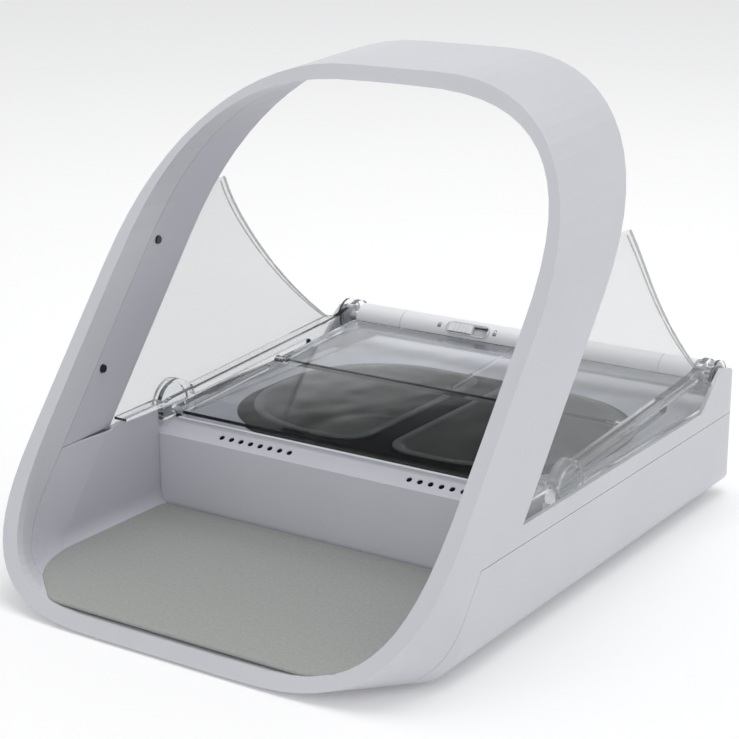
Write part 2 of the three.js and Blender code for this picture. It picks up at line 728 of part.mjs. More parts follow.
function lockSlider() {
  const tab = box(SLIDER_X, [-2.4, 2.4], [BARREL_RADIUS - 1.5, BARREL_RADIUS + 0.4]);
  const ridges = RIDGES_X.map(
    (x) => box([x - 0.4, x + 0.4], [-2.2, 2.2], [BARREL_RADIUS, BARREL_RADIUS + 0.9]),
  );
  return placedOnBarrel(join(tab, ...ridges));
}

// ---------------------------------------------------------------- drive
function gear(teeth, boreRadius, [y, z], phase) {
  const pitch = GEAR_MODULE * teeth / 2;
  const outline = [];
  for (let i = 0; i < teeth; i += 1) {
    const corners = [[-0.34, -1], [-0.14, 0.8], [0.14, 0.8], [0.34, -1]];
    for (const [share, height] of corners) {
      const angle = (i + share + phase) * 2 * Math.PI / teeth;
      const radius = pitch + height * GEAR_MODULE;
      outline.push([y + radius * Math.cos(angle), z + radius * Math.sin(angle)]);
    }
  }
  return cut(
    prism("x", outline, [GEAR_NEAR, GEAR_FAR]),
    rod("x", boreRadius, [GEAR_NEAR - 1, GEAR_FAR + 1], [y, z], 20),
  );
}

const OUTPUT_TEETH = 20;
const IDLER_TEETH = 24;
const PINION_TEETH = 8;
const MESH_SLACK = 0.3;
const IDLER_Z = PIVOT_Z - GEAR_MODULE * (OUTPUT_TEETH + IDLER_TEETH) / 2 - MESH_SLACK;
const PINION_Z = IDLER_Z - GEAR_MODULE * (IDLER_TEETH + PINION_TEETH) / 2 - MESH_SLACK;

function motorBracket() {
  const plate = box([BRACKET_X, BRACKET_X + 2.4], [127, 153], [PINION_Z - 11, IDLER_Z + 1.5]);
  return cut(
    plate,
    rod("x", 2.3, [100, 110], [PIVOT_Y, PINION_Z], 20),
    rod("x", 1.55, [100, 110], [PIVOT_Y, IDLER_Z], 16),
  );
}

function motor() {
  return join(
    rod("x", 9, [70, 103.6], [PIVOT_Y, PINION_Z], 32),
    rod("x", 3.2, [67, 70.1], [PIVOT_Y, PINION_Z], 20),
  );
}

const motorShaft = () => rod("x", 1.1, [103.9, GEAR_FAR + 0.6], [PIVOT_Y, PINION_Z], 16);

// ---------------------------------------------------------------- power and electronics
function batteryCell(startY) {
  const end = startY + CELL_LENGTH;
  return join(
    rod("y", CELL_RADIUS, [startY, end - 1.6], [CELL_X, CELL_Z], 32),
    rod("y", 3.7, [end - 1.7, end], [CELL_X, CELL_Z], 20),
  );
}

// A half-round cover over two cells, open at the bottom.
function batteryBox() {
  const tunnelOver = (radius, foot) => [
    [CELL_X + radius, foot],
    ...arcPoints([CELL_X, CELL_Z], radius, 0, 180, 14),
    [CELL_X - radius, foot],
  ];
  return cut(
    prismAlongY(tunnelOver(CELL_RADIUS + 1.7, 9.5), [14, 122.5]),
    prismAlongY(tunnelOver(CELL_RADIUS + GAP, 4), [15.5, 121]),
  ).intersect(cavity);
}

function contactPlate(y) {
  return box([CELL_X - 8, CELL_X + 8], [y, y + 0.5], [CELL_Z - 8, CELL_Z + 8]);
}

function circuitBoard() {
  return box([-46, 46], [152, 153.6], [12, 43]);
}

function rearButton(x) {
  return join(
    rod("y", BUTTON_RADIUS, [157.5, HALF_DEPTH], [x, BUTTON_Z], 28),
    rod("y", BUTTON_RADIUS + 1, [156.2, 157.6], [x, BUTTON_Z], 28),
  );
}

function baseScrew([x, y]) {
  return join(
    rod("z", SCREW_HEAD_RADIUS, [BODY_BOTTOM + 0.1, BODY_BOTTOM + 0.9], [x, y], 20),
    rod("z", 1.45, [BODY_BOTTOM + 0.8, 7], [x, y], 14),
  );
}

// ---------------------------------------------------------------- assembly
const feeder = new THREE.Group();

function add(name, solid, material) {
  const mesh = new THREE.Mesh(toGeometry(solid), material());
  mesh.name = name;
  feeder.add(mesh);
}

function addPair(name, right, material) {
  add(`${name}_right`, right, material);
  add(`${name}_left`, mirrored(right), material);
}

add("base_shell", baseShell(), WHITE);
add("hood_shell", hoodShell(), WHITE);
add("hood_liner", hoodLiner(), INNER_WHITE);
add("antenna_coil", antennaCoil(), COPPER);
add("tray_liner", trayLiner(), INNER_WHITE);
add("tray_mat", trayMat(), MAT_GREY);
add("bowl_deck", bowlDeck(), INNER_WHITE);
addPair("bowl", halfBowl(), BOWL_GREY);

IR_SPOTS.forEach(([y, z], i) => {
  const lens = rod("x", LENS_RADIUS, [107.4, 111.2], [y, z], 20);
  addPair(i === 0 ? "sensor_lens_upper" : "sensor_lens_lower", lens, BLACK);
});

addPair("rail", rail(), CLEAR);
addPair("side_wing", sideWing(), CLEAR);
addPair("hub_cap", hubCap(), CLEAR);
addPair("rail_boss", railBoss(), CLEAR);

add("lid_front_panel", lidFrontPanel(), CLEAR);
add("lid_rear_panel", lidRearPanel(), CLEAR);
addPair("fold_pin", rod("x", 1.2, [95.5, 102.2], FOLD, 16), BLACK);
addPair("guide_pin", rod("x", 1.5, [98.2, RAIL_INNER + RAIL_WEB], aboveLid(GUIDE_Y, 0), 16), STEEL);

add("barrel", barrel(), WHITE);
add("barrel_end_right", barrelEnd(BARREL_RIGHT + GAP, BARREL_END), WHITE);
add("barrel_end_left", barrelEnd(-BARREL_END, BARREL_LEFT - GAP), WHITE);
add("lock_slider", lockSlider(), WHITE);
add("drive_shaft", rod("x", SHAFT_RADIUS, [-109, GEAR_FAR], [PIVOT_Y, PIVOT_Z]), STEEL);

const halfTooth = (teeth) => (teeth % 4 === 0 ? 0.5 : 0);
add("output_gear", gear(OUTPUT_TEETH, SHAFT_RADIUS + 0.05, [PIVOT_Y, PIVOT_Z], 0), NYLON);
add("idler_gear", gear(IDLER_TEETH, 1.55, [PIVOT_Y, IDLER_Z], halfTooth(IDLER_TEETH)), NYLON);
add("motor_pinion", gear(PINION_TEETH, 1.15, [PIVOT_Y, PINION_Z], 0), BRASS);
add("idler_pin", rod("x", 1.5, [104.2, GEAR_FAR + 0.8], [PIVOT_Y, IDLER_Z], 16), STEEL);
add("motor_shaft", motorShaft(), STEEL);
add("motor", motor(), STEEL);
add("motor_bracket", motorBracket(), NYLON);

for (let i = 0; i < 2; i += 1) {
  const start = CELL_START_Y + i * (CELL_LENGTH + 1);
  addPair(`battery_cell_${i === 0 ? "front" : "rear"}`, batteryCell(start), BRASS);
}
addPair("battery_box", batteryBox(), INNER_WHITE);
addPair("battery_contact", contactPlate(CELL_START_Y - 1.2), STEEL);
addPair("battery_door", batteryDoor(), WHITE);

add("circuit_board", circuitBoard(), BOARD_GREEN);
["left", "middle", "right"].forEach((place, i) => {
  add(`button_${place}`, rearButton(BUTTONS_X[i]), RUBBER);
});
FEET.forEach(([x, y], i) => {
  addPair(i === 0 ? "foot_front" : "foot_rear", rod("z", FOOT_RADIUS, [0, 1.9], [x, y], 28), RUBBER);
});
addPair("base_screw", baseScrew(SCREW), STEEL);

export default feeder;
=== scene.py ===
"""Automatic pet feeder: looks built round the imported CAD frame. Metres, +X right, +Y back, +Z up."""
import json
import math

import bmesh
import bpy
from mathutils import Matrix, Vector


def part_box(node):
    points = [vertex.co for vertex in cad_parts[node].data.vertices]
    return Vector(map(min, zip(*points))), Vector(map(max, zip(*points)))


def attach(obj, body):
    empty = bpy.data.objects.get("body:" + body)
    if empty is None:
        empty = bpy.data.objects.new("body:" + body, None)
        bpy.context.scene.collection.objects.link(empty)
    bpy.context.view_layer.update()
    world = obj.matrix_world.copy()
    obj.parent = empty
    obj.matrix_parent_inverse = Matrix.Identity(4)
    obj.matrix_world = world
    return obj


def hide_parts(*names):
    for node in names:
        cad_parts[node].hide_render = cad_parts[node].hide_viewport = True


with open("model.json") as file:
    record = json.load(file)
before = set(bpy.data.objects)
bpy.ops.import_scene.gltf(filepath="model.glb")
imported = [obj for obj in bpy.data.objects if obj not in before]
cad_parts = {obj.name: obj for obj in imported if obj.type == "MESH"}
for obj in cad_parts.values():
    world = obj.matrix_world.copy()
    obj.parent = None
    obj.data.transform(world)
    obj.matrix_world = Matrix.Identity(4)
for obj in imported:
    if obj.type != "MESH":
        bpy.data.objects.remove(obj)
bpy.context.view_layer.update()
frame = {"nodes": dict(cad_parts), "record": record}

MM = 0.001
NODES = frame["nodes"]

# ---------------------------------------------------------------- camera, lights and floor
CAMERA_PLACE = (0.4713, -0.7182, 0.3428)
CAMERA_AZIMUTH = math.radians(33.52)
CAMERA_ELEVATION = math.radians(16.69)
CAMERA_LENS_MM = 93.2
SENSOR_MM = 36.0


def add_camera():
    """The photograph's viewing angle, framed for a square image."""
    camera = bpy.data.cameras.new("camera")
    camera.lens = CAMERA_LENS_MM
    camera.sensor_width = SENSOR_MM
    camera.clip_start = 0.01
    camera.clip_end = 20
    seen = bpy.data.objects.new("camera", camera)
    seen.location = CAMERA_PLACE
    seen.rotation_euler = (math.pi / 2 - CAMERA_ELEVATION, 0, CAMERA_AZIMUTH)
    bpy.context.collection.objects.link(seen)
    bpy.context.scene.camera = seen


def add_area_light(name, place, target, size, watts):
    """A rectangular lamp turned towards a target."""
    light = bpy.data.lights.new(name, "AREA")
    light.shape = "RECTANGLE"
    light.size, light.size_y = size
    light.energy = watts
    lamp = bpy.data.objects.new(name, light)
    lamp.location = place
    lamp.rotation_euler = (Vector(target) - Vector(place)).to_track_quat("-Z", "Y").to_euler()
    bpy.context.collection.objects.link(lamp)


SKY_TINT = (0.985, 0.99, 1, 1)
BAND_CLIMB = (0.38, 0.412, 0.5, 0.68)  # sines of the elevations where the dark band fades
FRONT_TO_BACK = 0.4  # how far either side of straight up the two halves blend


def add_world(front, back, dark_band):
    """A pale studio, dimmer in front of the object, with a dark band above the rear backdrop."""
    world = bpy.data.worlds.new("studio")
    world.use_nodes = True
    tree = world.node_tree
    background = tree.nodes["Background"]
    background.inputs["Color"].default_value = SKY_TINT
    direction = tree.nodes.new("ShaderNodeTexCoord").outputs["Generated"]
    parts = tree.nodes.new("ShaderNodeSeparateXYZ")
    tree.links.new(direction, parts.inputs["Vector"])
    climb = tree.nodes.new("ShaderNodeValToRGB")
    climb.color_ramp.elements[0].color = (back, back, back, 1)
    climb.color_ramp.elements[1].color = (back, back, back, 1)
    for place, level in zip(BAND_CLIMB, (back, dark_band, dark_band, back)):
        climb.color_ramp.elements.new(place).color = (level, level, level, 1)
    tree.links.new(parts.outputs["Z"], climb.inputs["Fac"])
    behind = tree.nodes.new("ShaderNodeMapRange")
    behind.inputs["From Min"].default_value = -FRONT_TO_BACK
    behind.inputs["From Max"].default_value = FRONT_TO_BACK
    tree.links.new(parts.outputs["Y"], behind.inputs["Value"])
    blend = tree.nodes.new("ShaderNodeMix")
    blend.inputs["A"].default_value = front
    tree.links.new(behind.outputs["Result"], blend.inputs["Factor"])
    tree.links.new(climb.outputs["Color"], blend.inputs["B"])
    tree.links.new(blend.outputs["Result"], background.inputs["Strength"])
    bpy.context.scene.world = world


FLOOR_SIZE = 12
FLOOR_DROP = 0.0002


def add_floor():
    """The white studio floor, just under the feet."""
    bpy.ops.mesh.primitive_plane_add(size=FLOOR_SIZE, location=(0, 0, -FLOOR_DROP))
    floor = bpy.context.object
    floor.name = "floor"
    paint = plain_material("floor_paint", (0.95, 0.95, 0.95), 0.9)
    shader = paint.node_tree.nodes["Principled BSDF"]
    shader.inputs["Emission Color"].default_value = (1, 1, 1, 1)
    shader.inputs["Emission Strength"].default_value = 0.1
    floor.data.materials.append(paint)


# ---------------------------------------------------------------- materials
def plain_material(name, colour, roughness):
    material = bpy.data.materials.new(name)
    material.use_nodes = True
    shader = material.node_tree.nodes["Principled BSDF"]
    shader.inputs["Base Color"].default_value = (*colour, 1)
    shader.inputs["Roughness"].default_value = roughness
    return material


class Surface:
    """A principled material with noise-driven tone, gloss and bump, in object coordinates."""

    def __init__(self, name, **sockets):
        self.material = bpy.data.materials.new(name)
        self.material.use_nodes = True
        self.tree = self.material.node_tree
        self.shader = self.tree.nodes["Principled BSDF"]
        for socket, value in sockets.items():
            self.shader.inputs[socket.replace("_", " ")].default_value = value
        self.place = self.tree.nodes.new("ShaderNodeTexCoord").outputs["Object"]

    def link(self, start, end):
        self.tree.links.new(start, end)

    def noise(self, size, detail=3.0, stretch=None):
        """Noise whose features are about size metres across."""
        node = self.tree.nodes.new("ShaderNodeTexNoise")
        node.inputs["Scale"].default_value = 1 / size
        node.inputs["Detail"].default_value = detail
        place = self.place
        if stretch:
            mapping = self.tree.nodes.new("ShaderNodeMapping")
            mapping.inputs["Scale"].default_value = stretch
            self.link(place, mapping.inputs["Vector"])
            place = mapping.outputs["Vector"]
        self.link(place, node.inputs["Vector"])
        return node.outputs["Fac"]

    def spread(self, value, low, high):
        """Maps a 0 to 1 value onto low to high."""
        node = self.tree.nodes.new("ShaderNodeMapRange")
        node.inputs["To Min"].default_value = low
        node.inputs["To Max"].default_value = high
        self.link(value, node.inputs["Value"])
        return node.outputs["Result"]

    def tones(self, value, stops):
        """Colours along a value, as (position, colour) stops."""
        node = self.tree.nodes.new("ShaderNodeValToRGB")
        ramp = node.color_ramp
        while len(ramp.elements) < len(stops):
            ramp.elements.new(0.5)
        for element, (position, colour) in zip(ramp.elements, stops):
            element.position = position
            element.color = (*colour, 1)
        self.link(value, node.inputs["Fac"])
        self.link(node.outputs["Color"], self.shader.inputs["Base Color"])

    def gloss(self, value, low, high):
        self.link(self.spread(value, low, high), self.shader.inputs["Roughness"])

    def bumps(self, *layers):
        """Bump layers of (height value, depth in metres), stacked."""
        normal = None
        for value, depth in layers:
            node = self.tree.nodes.new("ShaderNodeBump")
            node.inputs["Distance"].default_value = depth
            self.link(value, node.inputs["Height"])
            if normal:
                self.link(normal, node.inputs["Normal"])
            normal = node.outputs["Normal"]
        self.link(normal, self.shader.inputs["Normal"])


def shade(colour, factor):
    return tuple(min(1, channel * factor) for channel in colour)


SPARK_DEPTH = 0.00002
SCUFF_STRETCH = (1, 14, 1)
DRAWN_STRETCH = (1, 30, 30)


def moulded_plastic(name, colour, roughness):
    """Satin moulded plastic: fine spark texture, slow waves and slightly uneven gloss."""
    surface = Surface(name, IOR=1.49)
    drift = surface.noise(0.06, 2)
    surface.tones(drift, [(0.3, shade(colour, 0.975)), (0.7, shade(colour, 1.02))])
    surface.gloss(surface.noise(0.004, 4), roughness - 0.04, roughness + 0.05)
    surface.bumps((surface.noise(0.0006, 2), SPARK_DEPTH), (surface.noise(0.03, 1), 0.00006))
    return surface.material


def clear_plastic(name, tint, roughness=0.03, index=1.5):
    """Clear moulded polycarbonate: faint flow waves and hairline scuffs in its gloss."""
    surface = Surface(name, Transmission_Weight=1.0, IOR=index)
    scuffs = surface.noise(0.002, 5, SCUFF_STRETCH)
    surface.tones(surface.noise(0.08, 1), [(0.3, tint), (0.7, shade(tint, 1.01))])
    surface.gloss(scuffs, roughness * 0.5, roughness * 1.8)
    surface.bumps((surface.noise(0.025, 1), 0.00005))
    return surface.material


def milky_sheet(name, tint, cover):
    """Thin frosted-clear sheet: part of the light passes, the rest scatters."""
    surface = Surface(name, Alpha=cover, IOR=1.5)
    surface.tones(surface.noise(0.06, 1), [(0.3, tint), (0.7, shade(tint, 1.02))])
    surface.gloss(surface.noise(0.002, 5, SCUFF_STRETCH), 0.1, 0.2)
    surface.bumps((surface.noise(0.03, 1), 0.00003))
    return surface.material


def soft_rubber(name, colour, roughness, speck=0.0009, depth=0.00008, index=1.45):
    """Matt elastomer with a fine pebbled face and mottled tone."""
    surface = Surface(name, IOR=index)
    mottle = surface.noise(speck * 3, 5)
    surface.tones(mottle, [(0.35, shade(colour, 0.93)), (0.65, shade(colour, 1.05))])
    surface.gloss(surface.noise(speck, 3), roughness - 0.08, roughness + 0.06)
    surface.bumps((surface.noise(speck, 2), depth))
    return surface.material


def worked_metal(name, colour, roughness):
    """Drawn or turned metal with streaks along one axis."""
    surface = Surface(name, Metallic=1.0)
    streaks = surface.noise(0.002, 4, DRAWN_STRETCH)
    surface.tones(streaks, [(0.25, shade(colour, 0.88)), (0.75, shade(colour, 1.06))])
    surface.gloss(streaks, roughness - 0.07, roughness + 0.1)
    surface.bumps((streaks, 0.00001))
    return surface.material


def board_laminate(name, colour):
    """Printed circuit laminate: solder-mask green with woven glass showing faintly."""
    surface = Surface(name, IOR=1.5)
    weave = surface.noise(0.0012, 2, (4, 1, 1))
    surface.tones(weave, [(0.4, shade(colour, 0.85)), (0.6, shade(colour, 1.1))])
    surface.gloss(weave, 0.25, 0.4)
    surface.bumps((weave, 0.00003))
    return surface.material


MATERIALS = {
    "white_plastic": moulded_plastic("white_plastic", (0.64, 0.645, 0.68), 0.38),
    "inner_plastic": moulded_plastic("inner_plastic", (0.6, 0.595, 0.66), 0.42),
    "mat_rubber": soft_rubber("mat_rubber", (0.365, 0.38, 0.36), 0.75, 0.0005, 0.00002),
    "bowl_plastic": moulded_plastic("bowl_plastic", (0.075, 0.08, 0.07), 0.34),
    "black_plastic": moulded_plastic("black_plastic", (0.012, 0.012, 0.014), 0.2),
    "clear_plastic": clear_plastic("clear_plastic", (0.95, 0.975, 0.995)),
    # near-black painted shade: the shadowed well round the bowls and the dark inside of the vents
    "painted_shade_black": soft_rubber("painted_shade_black", (0.006, 0.006, 0.008), 0.8, 0.0008, 0.00001, 1.15),
    # lighter, bluer copy of inner_plastic for the bowl deck: painted light for the light that reaches it
    # through the clear lid
    "lit_deck_plastic": moulded_plastic("lit_deck_plastic", (0.66, 0.66, 0.715), 0.42),
    # lighter copy of white_plastic for the barrel and lock slider: painted light for the brighter light
    # falling on the barrel
    "lit_barrel_plastic": moulded_plastic("lit_barrel_plastic", (0.88, 0.885, 0.91), 0.36),
    "clear_rail": clear_plastic("clear_rail", (0.97, 0.98, 0.99), 0.1, 1.22),
    "wing_clear": milky_sheet("wing_clear", (0.5, 0.515, 0.52), 0.2),
    "rim_clear": milky_sheet("rim_clear", (0.3, 0.31, 0.32), 0.35),
    # painted highlight: the bright line along the lid's front edge
    "painted_highlight_white": moulded_plastic("painted_highlight_white", (0.86, 0.87, 0.89), 0.18),
    "mark_print": moulded_plastic("mark_print", (0.25, 0.25, 0.27), 0.5),
    "steel": worked_metal("steel", (0.62, 0.63, 0.65), 0.28),
    "copper": worked_metal("copper", (0.72, 0.38, 0.2), 0.35),
    "brass": worked_metal("brass", (0.75, 0.58, 0.28), 0.32),
    "nylon": moulded_plastic("nylon", (0.66, 0.66, 0.68), 0.45),
    "board": board_laminate("board", (0.03, 0.17, 0.08)),
    "foot_rubber": soft_rubber("foot_rubber", (0.04, 0.04, 0.042), 0.8, 0.0006, 0.00004),
}


# ---------------------------------------------------------------- carried-over CAD nodes
EDGE_ROUNDING = {
    "white_plastic": 0.7, "inner_plastic": 0.5, "clear_plastic": 0.25, "bowl_plastic": 0.4,
    "foot_rubber": 0.4, "steel": 0.1, "brass": 0.1, "nylon": 0.1, "black_plastic": 0.1,
}
CREASE_ANGLE = math.radians(35)
MICRONS_PER_METRE = 1e6
SAME_PLANE = 2e-6

# What a node's name starts with, where its look differs from its material slot's.
NODE_LOOKS = {
    "rail_": "clear_rail", "hub_": "clear_rail", "side_wing": "wing_clear",
    "bowl_deck": "lit_deck_plastic", "barrel": "lit_barrel_plastic", "lock_slider": "lit_barrel_plastic",
}


def finish_cad_nodes():
    """Gives every CAD node its material, smooth curves and softened edges."""
    slot_of = {part["node"]: part["material_slot"] for part in frame["record"]["subparts"]}
    for name, node in NODES.items():
        slot = slot_of[name]
        finish = next((look for start, look in NODE_LOOKS.items() if name.startswith(start)), slot)
        node.data.materials.clear()
        node.data.materials.append(MATERIALS[finish])
        for face in node.data.polygons:
            face.use_smooth = True
        soften(node, EDGE_ROUNDING.get(slot, 0) * MM)


def soften(piece, width=0):
    """Rounds the sharp edges by a width and keeps their shading crisp."""
    if width:
        bevel = piece.modifiers.new("rounding", "BEVEL")
        bevel.width = width
        bevel.segments = 2
        bevel.limit_method = "ANGLE"
        bevel.angle_limit = CREASE_ANGLE
        bevel.use_clamp_overlap = True
    split = piece.modifiers.new("crease", "EDGE_SPLIT")
    split.split_angle = CREASE_ANGLE


def rounded_outline(x0, x1, y0, y1, corners, steps=12):
    """A closed plan outline with superellipse corners (rx, ry, power), from the lower right round."""
    points = []
    for quarter, (rx, ry, power) in enumerate(corners):
        centre_x = x1 - rx if quarter < 2 else x0 + rx
        centre_y = y1 - ry if quarter in (1, 2) else y0 + ry
        for step in range(steps + 1):
            angle = (quarter - 1 + step / steps) * math.pi / 2
            wide, tall = math.cos(angle), math.sin(angle)
            points.append((
                centre_x + rx * math.copysign(abs(wide) ** (2 / power), wide),
                centre_y + ry * math.copysign(abs(tall) ** (2 / power), tall),
            ))
    return points


def make_piece(name, mesh_code, material, body):
    """A new piece from bmesh code, smooth shaded, riding on a body."""
    bm = bmesh.new()
    mesh_code(bm)
    bmesh.ops.remove_doubles(bm, verts=bm.verts, dist=1e-7)
    bmesh.ops.recalc_face_normals(bm, faces=bm.faces)
    mesh = bpy.data.meshes.new(name)
    bm.to_mesh(mesh)
    bm.free()
    for face in mesh.polygons:
        face.use_smooth = True
    piece = bpy.data.objects.new(name, mesh)
    bpy.context.collection.objects.link(piece)
    mesh.materials.append(material)
    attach(piece, body)
    return piece


def loft(bm, rings, cap_start=True, cap_end=True):
    """Skins rings of points in order; each ring has the same number of points."""
    rows = [[bm.verts.new(point) for point in ring] for ring in rings]
    for low, high in zip(rows, rows[1:]):
        for i in range(len(low)):
            j = (i + 1) % len(low)
            bm.faces.new((low[i], low[j], high[j], high[i]))
    if cap_start:
        bm.faces.new(list(reversed(rows[0])))
    if cap_end:
        bm.faces.new(rows[-1])


def node_loop(name, axis, value):
    """The longest outline of a CAD node's flat face that lies at a value of one axis."""
    mesh = NODES[name].data
    places, keys = {}, []
    for vertex in mesh.vertices:
        place = NODES[name].matrix_world @ vertex.co
        keys.append(tuple(round(c * MICRONS_PER_METRE) for c in place))
        places[keys[-1]] = place
    edges = {}
    for face in mesh.polygons:
        corners = [keys[v] for v in face.vertices]
        if all(abs(places[key][axis] - value) < SAME_PLANE for key in corners):
            for a, b in zip(corners, corners[1:] + corners[:1]):
                edges.setdefault(frozenset((a, b)), []).append((a, b))
    step = dict(pair[0] for pair in edges.values() if len(pair) == 1)
    loops = []
    while step:
        start, after = step.popitem()
        chain = [start]
        while after != start:
            chain.append(after)
            after = step.pop(after)
        loops.append(chain)
    return [places[key] for key in max(loops, key=len)]


def inset_loop(points, distance):
    """Moves a closed convex plan outline inwards by a distance."""
    centre = sum((Vector(p) for p in points), Vector((0, 0))) / len(points)
    moved = []
    for i, point in enumerate(points):
        before, after = Vector(points[i - 1]), Vector(points[(i + 1) % len(points)])
        along = (after - before).normalized()
        inward = Vector((-along.y, along.x))
        if inward.dot(centre - Vector(point)) < 0:
            inward = -inward
        moved.append(Vector(point) + inward * distance)
    return moved


# ---------------------------------------------------------------- feeding mat
def evenly(points, count):
    """Resamples a closed plan outline at even steps."""
    closed = points + [points[0]]
    lengths = [0.0]
    for a, b in zip(closed, closed[1:]):
        lengths.append(lengths[-1] + (b - a).length)
    result, at = [], 0
    for i in range(count):
        goal = lengths[-1] * i / count
        while lengths[at + 1] < goal:
            at += 1
        share = (goal - lengths[at]) / (lengths[at + 1] - lengths[at])
        result.append(closed[at].lerp(closed[at + 1], share))
    return result


def relaxed(points, rounds):
    """Softens the facets of a closed outline."""
    for _ in range(rounds):
        points = [
            (points[i - 1] + 2 * point + points[(i + 1) % len(points)]) / 4
            for i, point in enumerate(points)
        ]
    return points


MAT_POINTS = 320
MAT_SOFTENING = 6
MAT_FRONT_BAND, MAT_FRONT_FADE, MAT_FRONT_REACH = 3, 2, 0.5


def add_feeding_mat():
    """The moulded rubber mat: a flat sheet with a softly rounded edge."""
    low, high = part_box("tray_mat")
    corners = node_loop("tray_mat", 2, high[2])
    outline = relaxed(evenly([Vector((c.x, c.y)) for c in corners], MAT_POINTS), MAT_SOFTENING)
    front = low[1] + MAT_FRONT_BAND * MM
    for point in outline:
        share = min(max((front - point.y) / (MAT_FRONT_FADE * MM), 0), 1)
        point.y -= MAT_FRONT_REACH * MM * share
    base_z, top_z = low[2], high[2]
    sections = [
        (0.6, base_z), (0.1, base_z + 0.3 * MM), (-0.2, base_z + 0.7 * MM),
        (-0.2, top_z - 0.6 * MM), (0.0, top_z - 0.25 * MM), (0.4, top_z - 0.06 * MM),
        (1.2, top_z), (2.4, top_z), (3.4, top_z),
    ]

    def shape(bm):
        loft(bm, [[(*p, z) for p in inset_loop(outline, inset * MM)] for inset, z in sections])

    mat = make_piece("feeding_mat", shape, MATERIALS["mat_rubber"], "base")
    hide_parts("tray_mat")


# ---------------------------------------------------------------- bowls
BOWL_OUTER = (62, 60, 2.2)
BOWL_INNER = (20, 20, 2.2)
BOWL_TIGHTEST = 5
BOWL_INSET = 2.4


def bowl_outline(side, inset, steps=14):
    """Half bowl outline: a wide curve outside, small corners along the middle."""
    low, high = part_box("bowl_right")
    corners = [
        (max(rx - inset, BOWL_TIGHTEST) * MM, max(ry - inset, BOWL_TIGHTEST) * MM, power)
        for rx, ry, power in (BOWL_OUTER, BOWL_OUTER, BOWL_INNER, BOWL_INNER)
    ]
    span = (low[0] + inset * MM, high[0] - inset * MM, low[1] + inset * MM, high[1] - inset * MM)
    return [(side * x, y) for x, y in rounded_outline(*span, corners, steps)]


def add_bowl(name, side):
    """A half bowl with a rolled rim, sloping walls and a flat floor."""
    low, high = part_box(name)
    rim, floor = high[2] / MM, low[2] / MM
    # Inset and height: from the underside up the outside, over the rim and down to the floor.
    sections = [
        (21.8, floor), (20.8, floor + 0.3), (19.6, floor + 1.4), (12, rim - 12), (3.4, rim - 2.0),
        (2.9, rim - 1.5), (0.5, rim - 1.45), (0.1, rim - 1.1), (0.0, rim - 0.6), (0.5, rim - 0.1),
        (1.4, rim), (3.2, rim), (4.4, rim - 0.25), (5.2, rim - 1.1), (8.0, rim - 5.6),
        (13.6, rim - 13.4), (17.8, floor + 5.0), (19.6, floor + 2.9), (21.4, floor + 1.9),
        (22.4, floor + 1.7),
    ]

    def shape(bm):
        loft(bm, [
            [(*p, z * MM) for p in bowl_outline(side, inset + BOWL_INSET)] for inset, z in sections
        ])

    bowl = make_piece(f"half_{name}", shape, MATERIALS["bowl_plastic"], "base")
    smooth = bowl.modifiers.new("smooth", "SUBSURF")
    smooth.levels = smooth.render_levels = 1
    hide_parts(name)


SURROUND_REACH, SURROUND_FRONT = 0.8, 9
SURROUND_DROP, SURROUND_LIFT, SURROUND_THICKNESS = 1.8, 0.02, 0.24
SURROUND_LAP = 4.0


def add_bowl_well_shade():
    """A near-black plate that frames both bowls and shows between them: painted shade for the deep
    shadowed well round the bowls.
    """
    low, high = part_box("bowl_right")
    deck_top = high[2] - SURROUND_DROP * MM
    reach = SURROUND_REACH * MM
    rx, ry, power = BOWL_OUTER
    outer = rounded_outline(
        -high[0] - reach, high[0] + reach, low[1] - SURROUND_FRONT * MM, high[1] + reach,
        [(rx * MM + reach, ry * MM + reach, power)] * 4, 20,
    )
    holes = [bowl_outline(side, SURROUND_LAP, 12) for side in (-1, 1)]

    def shape(bm):
        edges = []
        for ring in (outer, *holes):
            verts = [bm.verts.new((x, y, deck_top + SURROUND_LIFT * MM)) for x, y in ring]
            edges += [bm.edges.new((verts[i - 1], verts[i])) for i in range(len(verts))]
        bmesh.ops.triangle_fill(bm, use_beauty=True, edges=edges)
        made = bmesh.ops.extrude_face_region(bm, geom=list(bm.faces))["geom"]
        raised = [item for item in made if isinstance(item, bmesh.types.BMVert)]
        bmesh.ops.translate(bm, verts=raised, vec=(0, 0, SURROUND_THICKNESS * MM))

    piece = make_piece("bowl_well_shade", shape, MATERIALS["painted_shade_black"], "base")
    soften(piece)


# ---------------------------------------------------------------- side wings
# The rear edge's curve, in millimetres back and up: its two ends and the point that bends it.
WING_TIP, WING_PULL, WING_HEEL = (31, 160), (62.5, 107.5), (124.5, 65.2)
WING_STEPS = 14
WING_MATCH = 0.1
RIM_BEADS = ((0, 0.6), (3.4, 0.4))  # gap ahead of the edge and radius
RIM_CLOSING = 0.75
RIM_INSIDE = 0.6


def tube(bm, path, radii, steps=10):
    """A round bead along a path of points; the radius may differ at each point."""
    rings = []
    for i, point in enumerate(path):
        along = (path[min(i + 1, len(path) - 1)] - path[max(i - 1, 0)]).normalized()
        across = along.orthogonal().normalized()
        up = along.cross(across)
        rings.append([
            point + (across * math.cos(a) + up * math.sin(a)) * radii[i]
            for a in (2 * math.pi * k / steps for k in range(steps))
        ])
    loft(bm, rings)


def wing_edge(side_name):
    """Points down a wing's rear edge, on its outer face."""
    corners = [vertex.co for vertex in NODES[f"side_wing_{side_name}"].data.vertices]
    path = []
    for i in range(WING_STEPS + 1):
        t = i / WING_STEPS
        y, z = (
            ((1 - t) ** 2 * a + 2 * t * (1 - t) * b + t * t * c) * MM
            for a, b, c in zip(WING_TIP, WING_PULL, WING_HEEL)
        )
        near = [p for p in corners if math.hypot(p.y - y, p.z - z) < WING_MATCH * MM]
        path.append(max(near, key=lambda p: abs(p.x)).copy())
    return path


